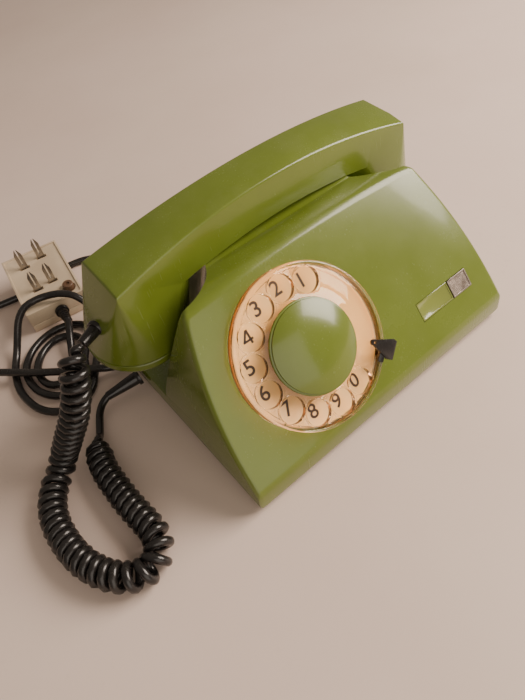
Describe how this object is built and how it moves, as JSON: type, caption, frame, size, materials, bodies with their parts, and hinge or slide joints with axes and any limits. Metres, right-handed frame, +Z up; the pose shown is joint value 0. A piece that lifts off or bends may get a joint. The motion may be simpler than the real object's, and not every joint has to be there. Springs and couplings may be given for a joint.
{
  "type": "rotary telephone",
  "caption": "Wedge-shaped desk telephone with a rotary dial, a handset across the top, a curly handset cord and a line cord ending in a flat-blade plug",
  "frame": {"origin": "on the ground plane, at the middle of the telephone's footprint with the cords left out", "axes": "+X across the front to the right, +Y from the front edge to the back, +Z up"},
  "size_m": [0.3309, 0.2781, 0.1181],
  "materials": {
    "green": "glossy olive-green moulded plastic",
    "cream": "cream plate with dark printed digits",
    "clear_amber": "clear moulded plastic",
    "badge_green": "glossy tinted strip",
    "badge_metal": "knurled bright metal",
    "black": "glossy black moulded plastic",
    "cord": "smooth black cord sheath",
    "foot_rubber": "dull black rubber",
    "steel": "plated steel",
    "brass": "bare brass",
    "board": "brown laminate",
    "base_paint": "black painted sheet steel",
    "ivory": "ivory moulded plastic",
    "brown": "dark brown moulded plastic"
  },
  "bodies": {
    "base": {"housing": "green", "badge_strip": "badge_green", "badge_insert": "badge_metal", "base_plate": "base_paint", "base_screw_front": "steel", "base_screw_rear": "steel", "foot_front_left": "foot_rubber", "foot_front_right": "foot_rubber", "foot_rear_left": "foot_rubber", "foot_rear_right": "foot_rubber", "number_plate": "cream", "dial_case": "steel", "governor_drum": "steel", "finger_stop": "black", "hook_pin": "steel", "hook_bracket_left": "steel", "hook_bracket_right": "steel", "switch_block": "black", "gong_left": "brass", "gong_right": "brass", "gong_post_left": "steel", "gong_post_right": "steel", "clapper_pin": "steel", "ringer_coil": "brass", "circuit_board": "board", "terminal_block": "black", "induction_coil": "steel", "capacitor": "steel", "line_cord_sleeve": "cord", "line_cord_back": "cord", "line_cord_ring": "cord", "line_cord_loops": "cord", "handset_cord_sleeve": "cord", "curly_cord": "cord", "curly_cord_tail": "cord", "plug_body": "ivory", "plug_blade_1": "steel", "plug_blade_2": "steel", "plug_blade_3": "steel", "plug_blade_4": "steel", "plug_key": "brown", "plug_sleeve": "cord"},
    "dial": {"finger_wheel": "clear_amber", "centre_cap": "green", "dial_shaft": "steel", "main_gear": "brass"},
    "governor": {"governor_pinion": "brass", "governor_shaft": "steel"},
    "plunger_left": {"plunger_left": "black"},
    "plunger_right": {"plunger_right": "black"},
    "hook": {"hook_rocker": "steel"},
    "clapper": {"clapper": "steel"},
    "handset": {"handset_shell": "green", "mouthpiece_cap": "green", "earpiece_cap": "green", "transmitter_capsule": "steel", "receiver_capsule": "steel", "handset_end_sleeve": "cord"}
  },
  "joints": [
    {"name": "dial_turn", "type": "hinge", "parent": "base", "child": "dial", "pos_m": [-0.033, -0.04184, 0.05323], "axis": [0, 0.7825, -0.6226], "range_deg": [0, 320], "stiffness_Nm_per_rad": 0.004, "springref_deg": -28.65},
    {"name": "governor_spin", "type": "hinge", "parent": "base", "child": "governor", "pos_m": [-0.05403, -0.03464, 0.06228], "axis": [0, 0.7825, -0.6226], "range_deg": [-1600, 0]},
    {"name": "plunger_left_slide", "type": "slide", "parent": "base", "child": "plunger_left", "axis": [0, -0.1736, 0.9848], "range_m": [0, 0.005]},
    {"name": "plunger_right_slide", "type": "slide", "parent": "base", "child": "plunger_right", "axis": [0, -0.1736, 0.9848], "range_m": [0, 0.005]},
    {"name": "hook_rock", "type": "hinge", "parent": "base", "child": "hook", "pos_m": [0, 0.0045, 0.072], "axis": [1, 0, 0], "range_deg": [0, 12.19]},
    {"name": "clapper_swing", "type": "hinge", "parent": "base", "child": "clapper", "pos_m": [0.0148, -0.0261, 0.0125], "axis": [0, 0, 1], "range_deg": [-5, 5], "stiffness_Nm_per_rad": 0.01},
    {"name": "handset_lift", "type": "slide", "parent": "base", "child": "handset", "axis": [0, 0, 1], "range_m": [0, 0.06]}
  ],
  "couplings": [
    {"joint": "governor_spin", "follows": "dial_turn", "ratio": -5},
    {"joint": "plunger_left_slide", "follows": "handset_lift", "ratio": 0.083333},
    {"joint": "plunger_right_slide", "follows": "handset_lift", "ratio": 0.083333},
    {"joint": "hook_rock", "follows": "handset_lift", "rad_per_m": 3.5458}
  ]
}
